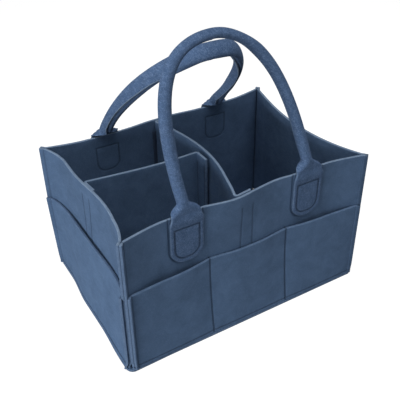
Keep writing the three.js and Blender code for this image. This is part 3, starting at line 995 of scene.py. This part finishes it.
def stripFrame(look, distance):
    # The strip's frame at each distance along the arch's middle line
    line = look["line"]
    run = runAlong(line)
    point = pointsAt(distance, run, line)
    curve = unit(pointsAt(distance, run, unit(np.gradient(line, axis=0))))
    share = distance / look["length"]
    fromEnd = np.minimum(share, 1 - share) * look["length"]
    upright = np.stack([np.zeros_like(share), np.zeros_like(share), np.where(share < 0.5, 1.0, -1.0)], -1)
    tangent = unit(lerp(upright, curve, smooth(fromEnd / handles["uprightLength"])[:, None]))
    across = squareTo(np.broadcast_to(np.array([0.0, look["inward"], 0.0]), point.shape), tangent)
    inner = squareTo(squareTo((line[0] + line[-1]) / 2 - point, tangent), across)

    def outward(turn):
        return -(across * np.cos(turn)[:, None] + inner * np.sin(turn)[:, None])

    outer = outward(math.pi / 2 * look["seam"](share, fromEnd))
    wide = np.cross(tangent, outer)
    thin = outward(look["pressTurn"] * smooth(fromEnd / handles["turnLength"]))
    start, run = (np.where(share < 0.5, *look[key]) for key in ("pressStart", "pressLength"))
    pressed = smooth((fromEnd - start) / run)
    rolled = np.clip(fromEnd / look["rollLength"], 0, 1)
    widening = look["crownWidening"] * smooth((share - 0.42) / 0.12) * (1 - smooth((share - 0.6) / 0.12))
    tabWidth = handles["stripWidth"] * (1 - handles["rimPull"])
    return {
        "point": point,
        "outer": outer,
        "wide": wide,
        "width": lerp(tabWidth, look["rolledWidth"] * (1 + widening), rolled),
        "rolled": rolled,
        "proud": lerp(*look["proudSides"], smooth((share - 0.45) / 0.1)),
        "thinOut": (thin * outer).sum(-1),
        "thinAside": (thin * wide).sum(-1),
        "wideShare": lerp(1.0, look["pressedWidth"], pressed),
        "thinShare": lerp(1.0, look["pressedDepth"], pressed),
    }


def pressedBy(f, out, aside, thinShare, wideShare):
    # Scales a vector of the tube's section along its thin direction and across it
    inThin = (out * f["thinOut"] + aside * f["thinAside"]) * thinShare
    inWide = (aside * f["thinOut"] - out * f["thinAside"]) * wideShare
    return inThin * f["thinOut"] - inWide * f["thinAside"], inThin * f["thinAside"] + inWide * f["thinOut"]


def rolledStrip(frames, u):
    # The strip's middle and facing at u across it: flat at the tabs, its sides rolled in above
    f = {k: v[:, None] for k, v in frames.items()}
    along = np.abs(u) * f["width"] / handles["stripWidth"]
    radius = f["width"] / handles["rollAngle"]
    flatHalf = f["width"] / 2 * (1 - f["rolled"])
    bend = np.maximum(along - flatHalf, 0) / radius
    side = np.sign(u)
    # One cut edge of the seam stands a little proud of the other
    fromSeam = (handles["stripWidth"] / 2 - np.abs(u)) / handles["seamStepWidth"]
    step = handles["seamStep"] * side * f["proud"] * (1 - smooth(fromSeam)) * f["rolled"] ** 3
    out = radius * (np.cos(bend) - 1 + f["rolled"]) + step * np.cos(bend)
    aside = side * (np.minimum(along, flatHalf) + (radius + step) * np.sin(bend))
    out, aside = pressedBy(f, out, aside, f["thinShare"], f["wideShare"])
    faceOut, faceAside = pressedBy(f, np.cos(bend), side * np.sin(bend), f["wideShare"], f["thinShare"])
    middle = f["point"] + f["outer"] * out[..., None] + f["wide"] * aside[..., None]
    return middle, unit(f["outer"] * faceOut[..., None] + f["wide"] * faceAside[..., None])


def tabDrop(u):
    corner = handles["tabCorner"]
    over = np.maximum(np.abs(u) - (handles["stripWidth"] / 2 - corner), 0)
    return handles["tabLength"] - corner + np.sqrt(np.maximum(corner**2 - over**2, 0))


def belowRim(look, u, v):
    # How far into its tab a point of the strip lies, along the middle and straight down
    tab = handles["tabLength"]
    below = np.maximum(np.maximum(tab - v, v - tab - look["length"]), 0)
    return below, below / tab * tabDrop(u)


def stripPlace(look):
    tab, pulled = handles["tabLength"], handles["rimPull"]

    def place(u, v):
        frames = stripFrame(look, np.clip(v[:, 0] - tab, 0, look["length"]))
        below, drop = belowRim(look, u, v)
        onTab = (1 - pulled * (1 - smooth(drop / handles["rimPullLength"]))) / (1 - pulled)
        middle, facing = rolledStrip(frames, np.where(below > 0, u * onTab, u))
        # The strip stands out a little between the rim and the top of its stitches
        overRim = np.exp(-1.0) * (below <= 0) * smooth(1 - frames["rolled"][:, None] * 5)
        underRim = np.exp(-((drop / handles["swellAt"] - 1) ** 2)) * (below > 0)
        swell = handles["swell"] * (underRim + overRim)
        middle = middle + facing * swell[..., None]
        middle[..., 2] -= drop
        return middle, facing

    return place


def stripRelief(look, dLine):
    tab, half = handles["tabLength"], handles["stripWidth"] / 2

    def relief(u, v):
        below, drop = belowRim(look, u, v)
        pressed = handles["puckered"] * grooveAt(distanceTo(dLine, u, -drop - 0.5)) * (below > 0)
        # The felt is drawn in along one side of the roll's seam and painted darker there, as shade beside
        # the seam
        fromSeam = np.where(v < tab + look["length"] / 2, -u, u) - half
        drawnAndShaded = np.exp(-((fromSeam / handles["drawnShadeWidth"]) ** 2)) * (below <= 0)
        rolled = smooth((np.minimum(v - tab, tab + look["length"] - v) - look["rollLength"]) / 4)
        return pressed + handles["drawnIn"] * drawnAndShaded * rolled, pressed * 0.3

    return relief


def seamHighlight(piece, look):
    # Painted highlight: the cut edges along the roll's seam take the paler rim material, so the seam shows a
    # light line; round the tabs they keep the side edges' material
    count = len(piece.data.polygons)
    kinds, centres = np.empty(count, np.int32), np.empty(count * 3)
    piece.data.polygons.foreach_get("material_index", kinds)
    piece.data.polygons.foreach_get("center", centres)
    onSeam = centres[2::3] > (handles["foot"] + look["rollLength"]) * mm
    piece.data.polygons.foreach_set("material_index", np.where(kinds == 0, 0, np.where(onSeam, 1, 2)))


def sewTabs(look, dLine):
    face = np.array([0.0, -look["inward"], 0.0])
    out = stripMiddle + felt / 2 - stitch["groove"] * 0.4
    for middleX in (-handles["spacing"] / 2, handles["spacing"] / 2):
        x, z = middleX + dLine[:, 0], caddy["wallTop"] + dLine[:, 1]
        addRow("caddy", np.stack([x, 0 * x, z], -1) + face * out, face, closed=True)


def sewTacks(name, look):
    # Bar tacks across the roll's seam, a little above the rim
    for middle in (handles["tackAt"], look["length"] - handles["tackAt"]):
        frames = stripFrame(look, middle + np.linspace(-handles["tackHalf"], handles["tackHalf"], 9))
        edge = (handles["stripWidth"] / 2 - 0.4) * np.where(np.arange(9) % 2, 1.0, -1.0)[:, None]
        points, facing = rolledStrip(frames, edge)
        addRow(name, (points + facing * felt / 2)[:, 0], facing[:, 0])


def handleStrip(name, look):
    side = name.split("_")[0]
    tab, length, wide = handles["tabLength"], look["length"], handles["stripWidth"] / 2
    rows = wide - handles["stitchInset"]
    wideCell, tabCell, archCell = handles["cells"]
    tabCells, archCells = spaced(0, tab, tabCell), spaced(0, length, archCell)
    piece = feltSheet(
        f"{name}_strip",
        withLines(spaced(-wide, wide, wideCell), [-rows, rows]),
        np.concatenate([tabCells, tab + archCells[1:], tab + length + tabCells[1:]]),
        stripPlace(look),
        materials=(handleFelt, paleLitRimEdge, sideEdge),
        relief=stripRelief(look, dLines[side]),
        sideRound=handles["cutEdgeRound"],
    )
    seamHighlight(piece, look)
    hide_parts(name, f"{side}_left_handle_tab", f"{side}_right_handle_tab")
    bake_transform(piece)
    sewTabs(look, dLines[side])
    sewTacks(name, look)


handleStrip("front_handle", frontHandle)
handleStrip("back_handle", backHandle)
print("handles made")


# Dividers, each one strip with folded ends

crossFoldY = halfWidth - caddy["longWallBow"] - tapeStack - felt / 2
smallLeftX = caddy["leftWallBow"] - halfLength + tapeStack + felt / 2
meetingY = dividers["smallRightFoldY"] - dividers["tabLength"] / 2


def crossMiddleAt(y):
    unbowed = lerp(dividers["crossFrontFoldX"], dividers["crossBackFoldX"], (y / crossFoldY + 1) / 2)
    return unbowed + dividers["crossBow"] * (1 - (y / crossFoldY) ** 2)


meetingEnds = [dividers["smallRightFoldY"] - dividers["tabLength"], dividers["smallRightFoldY"]]
crossLeftFace = min(crossMiddleAt(y) for y in meetingEnds) - felt / 2
smallRightX = crossLeftFace - tapeStack - felt / 2 - caddy["gap"]


def bowed(start, finish, bow, count=120):
    start, finish = np.array(start, float), np.array(finish, float)
    side = unit(np.array([finish[1] - start[1], start[0] - finish[0]]))
    t = np.linspace(0, 1, count)[:, None]
    return start + (finish - start) * t - side * bow * 4 * t * (1 - t)


def roundedFold(first, second, radius):
    # Joins two lines that meet at a corner by an arc
    corner = first[-1]
    into, onward = unit(first[-1] - first[-2]), unit(second[1] - second[0])
    turn = math.acos(float(np.clip(into @ onward, -1, 1)))
    cut = radius * math.tan(turn / 2)
    start = corner - into * cut
    normal = np.array([-into[1], into[0]]) * np.sign(into[0] * onward[1] - into[1] * onward[0])
    centre = start + normal * radius
    angles = np.linspace(0, turn, 12)[:, None]
    arc = centre - normal * radius * np.cos(angles) + into * radius * np.sin(angles)
    first = first[np.linalg.norm(first - corner, axis=1) > cut * 1.05]
    second = second[np.linalg.norm(second - corner, axis=1) > cut * 1.05]
    return np.concatenate([first, arc, second])


def dividerLine(leftTab, line, rightTab):
    radius = dividers["foldRadius"]
    start = np.linspace(0, 1, 24)[:, None]
    first = np.array(leftTab) + (line[0] - np.array(leftTab)) * start
    last = line[-1] + (np.array(rightTab) - line[-1]) * start
    return roundedFold(roundedFold(first, line, radius), last, radius)


tapeRowInset = dividers["tapeSeam"] + 1.0
endTapeRows = [tapeRowInset, dividers["tabLength"] - tapeRowInset]


def dividerSheet(name, line, top, twist, seed):
    # twist(x, y, z) moves an end along with the wall that it is taped to
    run = runAlong(line)
    ends = [dividers["tabLength"], run[-1] - dividers["tabLength"]]
    reach = dividers["foldCellsReach"]
    across = spaced(0, run[-1], dividers["cells"][0])
    for end in ends:
        across = across[np.abs(across - end) > reach]
        across = np.concatenate([across, spaced(end - reach, end + reach, dividers["foldCell"])])
    seams = [*endTapeRows, *(run[-1] - x for x in endTapeRows)]
    across = withLines(np.unique(across.round(3)), seams)
    way = unit(np.gradient(line, axis=0))

    def place(u, v):
        x, y = (np.interp(u, run, line[:, k]) for k in (0, 1))
        wayX, wayY = (np.interp(u, run, way[:, k]) for k in (0, 1))
        facing = unit(np.stack([-wayY, wayX, 0 * wayX], -1))
        middle = np.stack([x, y, v], -1) + twist(x, y, v)
        fromFold = np.minimum(u - ends[0], ends[1] - u) - dividers["waveFrom"]
        free = smooth(fromFold / dividers["waveRise"])
        wave = bump2d(u, v, seed, dividers["waveLength"], dividers["wave"]) * free
        return middle + facing * wave[..., None], facing

    def relief(u, v):
        pressed = 0.0 * u
        inTape = smooth((v - dividers["tapeFoot"]) / 2) * (1 - smooth((v - tapeTop) / 2))
        for seam in seams:
            pressed = pressed + grooveAt(u - seam) * inTape * 0.8
        return pressed, pressed * 0.8

    up = spaced(wallFoot, top, dividers["cells"][1])
    piece = feltSheet(f"{name}_felt", across, up, place, relief=relief)
    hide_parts(name)
    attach(piece, name)
    for seam in seams:
        v = np.linspace(dividers["tapeFoot"] + 1, tapeTop - 1, 50)
        middle, facing = place(0 * v + seam, v)
        for sign in (-1, 1):
            addRow(name, middle + sign * facing * (felt / 2 - stitch["groove"] * 0.3), sign * facing)


def pressedTop(z):
    # Above the tapes the folded ends lean on the walls
    return dividers["topPress"] * smooth((z - tapeTop + 14) / 26)


def crossTwist(x, y, z):
    near = smooth((-y - crossFoldY) / dividers["endReach"] + 1)
    front = (twistAt(np.maximum(x, frontX), "front") * twistShare(z) - pressedTop(z)) * near
    back = pressedTop(z) * smooth((y - crossFoldY) / dividers["endReach"] + 1)
    return np.stack([0 * x, front + back, 0 * x], -1)


def smallTwist(x, y, z):
    near = smooth((smallLeftX - x) / dividers["endReach"] + 1)
    moved = twistAt(-np.minimum(y, smallLeftY), "left") * twistShare(z) - pressedTop(z)
    return np.stack([moved * near, 0 * x, 0 * x], -1)


frontX, backX, endTab = dividers["crossFrontFoldX"], dividers["crossBackFoldX"], dividers["tabLength"]
smallLeftY, smallRightY = dividers["smallLeftFoldY"], dividers["smallRightFoldY"]
dividerSheet(
    "cross_divider",
    dividerLine(
        (backX + endTab, crossFoldY),
        bowed((backX, crossFoldY), (frontX, -crossFoldY), dividers["crossBow"]),
        (frontX + endTab, -crossFoldY),
    ),
    caddy["wallTop"],
    crossTwist,
    seed=31,
)
dividerSheet(
    "small_divider",
    dividerLine(
        (smallLeftX, smallLeftY - endTab),
        bowed((smallLeftX, smallLeftY), (smallRightX, smallRightY), dividers["smallBow"]),
        (smallRightX, smallRightY - endTab),
    ),
    caddy["wallTop"] - dividers["smallDrop"],
    smallTwist,
    seed=47,
)
print("dividers made")


# Hook and loop tape

def tapePiece(name, body, place, material):
    half = dividers["tapeWidth"] / 2
    piece = feltSheet(
        f"{name}_strip",
        spaced(-half, half, 2.0),
        spaced(dividers["tapeFoot"], tapeTop, 4.0),
        place,
        thickness=dividers["tape"],
        materials=(material, material, material),
    )
    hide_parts(name)
    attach(piece, body)


def tapeOnWall(side):
    path = plyPath(side, 0.0)

    def place(u, v):
        along, out, facing = plyPlan(path, tapeAt[side] + u, v)
        out = out - felt / 2 - caddy["gap"] - dividers["tape"] / 2
        return onWall(side, along, out, v), turned(facing, sides[side]["turn"])

    return place


def flatTape(x, y, facing, twist=None):
    facing = np.array([*facing, 0.0])
    sideways = np.array([-facing[1], facing[0], 0.0])

    def place(u, v):
        middle = np.array([x, y, 0.0]) + sideways * u[..., None]
        middle[..., 2] = v
        if twist:
            middle = middle + twist(middle[..., 0], middle[..., 1], v)
        return middle, np.broadcast_to(facing, middle.shape)

    return place


crossMateY = halfWidth - caddy["longWallBow"] - mateOffset
smallMateX = caddy["leftWallBow"] - halfLength + mateOffset
leftMateY = smallLeftY - endTab / 2
middleTapeX = crossLeftFace - 2 * caddy["gap"] - dividers["tape"] / 2
rightMateX = smallRightX + (felt + dividers["tape"]) / 2 + caddy["gap"]
dividerTapes = {
    "cross_divider_front_tape": (flatTape(frontX + endTab / 2, -crossMateY, (0, -1), crossTwist), hookTape),
    "cross_divider_back_tape": (flatTape(backX + endTab / 2, crossMateY, (0, 1)), hookTape),
    "cross_divider_middle_tape": (flatTape(middleTapeX, meetingY, (-1, 0)), loopTape),
    "small_divider_left_tape": (flatTape(smallMateX, leftMateY, (-1, 0), smallTwist), hookTape),
    "small_divider_right_tape": (flatTape(rightMateX, meetingY, (1, 0)), hookTape),
}
for side in tapeAt:
    tapePiece(f"{side}_wall_tape", "caddy", tapeOnWall(side), loopTape)
for name, (place, material) in dividerTapes.items():
    tapePiece(name, name.rsplit("_", 2)[0], place, material)
print("tapes made")


# Stitches, repeated along the rows by Geometry Nodes

def stitchShape():
    # One low stitch along x that dips into the felt at both ends
    rings, corners = 5, 6
    points, faces = [], []
    for i in range(rings):
        t = -1 + 2 * i / (rings - 1)
        thick = stitch["wide"] / 2 * (0.45 + 0.55 * math.sqrt(1 - t * t))
        lift = stitch["lift"] * (1 - t * t) - stitch["sunk"]
        for k in range(corners):
            turn = 2 * math.pi * k / corners
            points.append((t * stitch["long"] / 2, thick * math.cos(turn), lift + thick * math.sin(turn)))
    for i in range(rings - 1):
        for k in range(corners):
            a, b = i * corners + k, i * corners + (k + 1) % corners
            faces.append((a, b, b + corners, a + corners))
    faces.append(tuple(range(corners)))
    faces.append(tuple(reversed(range((rings - 1) * corners, rings * corners))))
    mesh = bpy.data.meshes.new("stitch")
    mesh.from_pydata([tuple(c * mm for c in p) for p in points], [], faces)
    for polygon in mesh.polygons:
        polygon.use_smooth = len(polygon.vertices) == 4
    volume = sum(Vector(f.center).dot(f.normal) * f.area for f in mesh.polygons)
    if volume < 0:
        mesh.flip_normals()
    return bpy.data.objects.new("stitch", mesh)


def stitchTree():
    tree = bpy.data.node_groups.new("stitchRows", "GeometryNodeTree")
    sockets = {"Rows": "Geometry", "Stitch": "Object", "Thread": "Material"}
    for name, kind in {**sockets, "Pitch": "Float", "Unevenness": "Float", "Seed": "Int"}.items():
        tree.interface.new_socket(name, in_out="INPUT", socket_type=f"NodeSocket{kind}")
    tree.interface.new_socket("Stitches", in_out="OUTPUT", socket_type="NodeSocketGeometry")
    given = node(tree, "NodeGroupInput").outputs

    def limit(operation):
        return node(tree, "ShaderNodeMath", {0: 1.0, 1: given["Unevenness"]}, operation=operation).outputs[0]

    curve = node(tree, "GeometryNodeMeshToCurve", {"Mesh": given["Rows"]}).outputs["Curve"]
    pitched = {"Curve": curve, "Length": given["Pitch"]}
    marks = node(tree, "GeometryNodeResampleCurve", pitched, mode="LENGTH")
    one = node(tree, "GeometryNodeObjectInfo", {"Object": given["Stitch"]})
    facing = node(tree, "GeometryNodeInputNamedAttribute", {"Name": "facing"}, data_type="FLOAT_VECTOR")
    along = node(tree, "GeometryNodeInputTangent").outputs["Tangent"]
    ways = {"Primary Axis": facing.outputs["Attribute"], "Secondary Axis": along}
    turn = node(tree, "FunctionNodeAxesToRotation", ways, primary_axis="Z", secondary_axis="X")
    sizes = {2: limit("SUBTRACT"), 3: limit("ADD"), "Seed": given["Seed"]}
    sewn = node(tree, "GeometryNodeInstanceOnPoints", {
        "Points": marks.outputs["Curve"],
        "Instance": one.outputs["Geometry"],
        "Rotation": turn.outputs["Rotation"],
        "Scale": node(tree, "FunctionNodeRandomValue", sizes, data_type="FLOAT").outputs[1],
    })
    real = node(tree, "GeometryNodeRealizeInstances", {"Geometry": sewn.outputs["Instances"]})
    dyed = {"Geometry": real.outputs["Geometry"], "Material": given["Thread"]}
    dye = node(tree, "GeometryNodeSetMaterial", dyed)
    node(tree, "NodeGroupOutput", {"Stitches": dye.outputs["Geometry"]})
    return tree


def sewRows(body, rows, tree, one, seed):
    points, facings, edges = [], [], []
    for line, facing in rows:
        first = len(points)
        points += [tuple(p * mm) for p in line]
        facings += [tuple(f) for f in facing]
        edges += [(first + i, first + i + 1) for i in range(len(line) - 1)]
    mesh = bpy.data.meshes.new(f"{body}_rows")
    mesh.from_pydata(points, edges, [])
    layer = mesh.attributes.new("facing", "FLOAT_VECTOR", "POINT")
    layer.data.foreach_set("vector", np.array(facings, np.float32).ravel())
    guide = placed(f"{body}_rows", mesh)
    modifier = guide.modifiers.new("stitches", "NODES")
    modifier.node_group = tree
    values = {
        "Stitch": one,
        "Thread": thread,
        "Pitch": stitch["pitch"] * mm,
        "Unevenness": stitch["unevenness"],
        "Seed": seed,
    }
    for item in tree.interface.items_tree:
        if item.item_type == "SOCKET" and item.in_out == "INPUT" and item.name in values:
            modifier[item.identifier] = values[item.name]
    view = bpy.context.evaluated_depsgraph_get()
    made = bpy.data.meshes.new_from_object(guide.evaluated_get(view))
    made.name = f"{body}_stitches"
    bpy.data.objects.remove(guide)
    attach(placed(made.name, made), body)


oneStitch = stitchShape()
rowTree = stitchTree()
for number, (body, rows) in enumerate(stitchRows.items()):
    sewRows(body, rows, rowTree, oneStitch, 100 + number)
bpy.data.objects.remove(oneStitch)
print("stitches sewn")


# Studio: a pale floor, soft lights from the left and from above, and a white background

studio = {
    "keyAt": (-1.92, -0.40, 0.20),
    "keyWide": 1.5,
    "keyHigh": 0.38,
    "keyPower": 27.0,
    "topAt": (-0.20, -0.42, 1.60),
    "topWide": 1.5,
    "topHigh": 1.1,
    "topPower": 21.0,
    "aim": (0.0, 0.0, 0.12),
    "ambient": 0.15,
    "floorShade": 0.30,
    "floorBounce": 0.45,
    "floorGlow": 0.88,
    "floorReach": 6.0,
    "floorDrop": 0.0005,
}


def studioLamp(name):
    data = bpy.data.lights.new(name, "AREA")
    data.shape = "RECTANGLE"
    data.size = studio[f"{name}Wide"]
    data.size_y = studio[f"{name}High"]
    data.energy = studio[f"{name}Power"]
    lamp = placed(name, data)
    at, aim = Vector(studio[f"{name}At"]), Vector(studio["aim"])
    lamp.matrix_world = Matrix.Translation(at) @ (aim - at).to_track_quat("-Z", "Y").to_matrix().to_4x4()


def studioWorld():
    world = bpy.data.worlds.new("studio")
    bpy.context.scene.world = world
    world.use_nodes = True
    tree = world.node_tree
    seen = node(tree, "ShaderNodeLightPath").outputs["Is Camera Ray"]
    level = node(tree, "ShaderNodeMapRange", {"Value": seen, "To Min": studio["ambient"], "To Max": 1.0})
    fill(tree, tree.nodes["Background"], {"Color": (1, 1, 1, 1), "Strength": level.outputs["Result"]})


def studioFloor():
    made, tree = newMaterial("paleFloor")
    tree.nodes.remove(tree.nodes["Principled BSDF"])

    def matt(shade):
        return node(tree, "ShaderNodeBsdfDiffuse", {"Color": (*[shade] * 3, 1)}).outputs[0]

    glow = node(tree, "ShaderNodeEmission", {"Strength": studio["floorGlow"]}).outputs[0]
    shown = node(tree, "ShaderNodeAddShader", {0: matt(studio["floorShade"]), 1: glow}).outputs[0]
    seen = node(tree, "ShaderNodeLightPath").outputs["Is Camera Ray"]
    pick = node(tree, "ShaderNodeMixShader", {0: seen, 1: matt(studio["floorBounce"]), 2: shown})
    fill(tree, tree.nodes["Material Output"], {"Surface": pick.outputs[0]})
    mesh = bpy.data.meshes.new("paleFloor")
    reach, drop = studio["floorReach"], studio["floorDrop"]
    square = [(x * reach, y * reach, -drop) for x, y in ((-1, -1), (1, -1), (1, 1), (-1, 1))]
    mesh.from_pydata(square, [], [(0, 1, 2, 3)])
    mesh.materials.append(made)
    placed("paleFloor", mesh)


studioLamp("key")
studioLamp("top")
studioWorld()
studioFloor()
bpy.context.scene.view_settings.view_transform = "Standard"
print("studio ready")
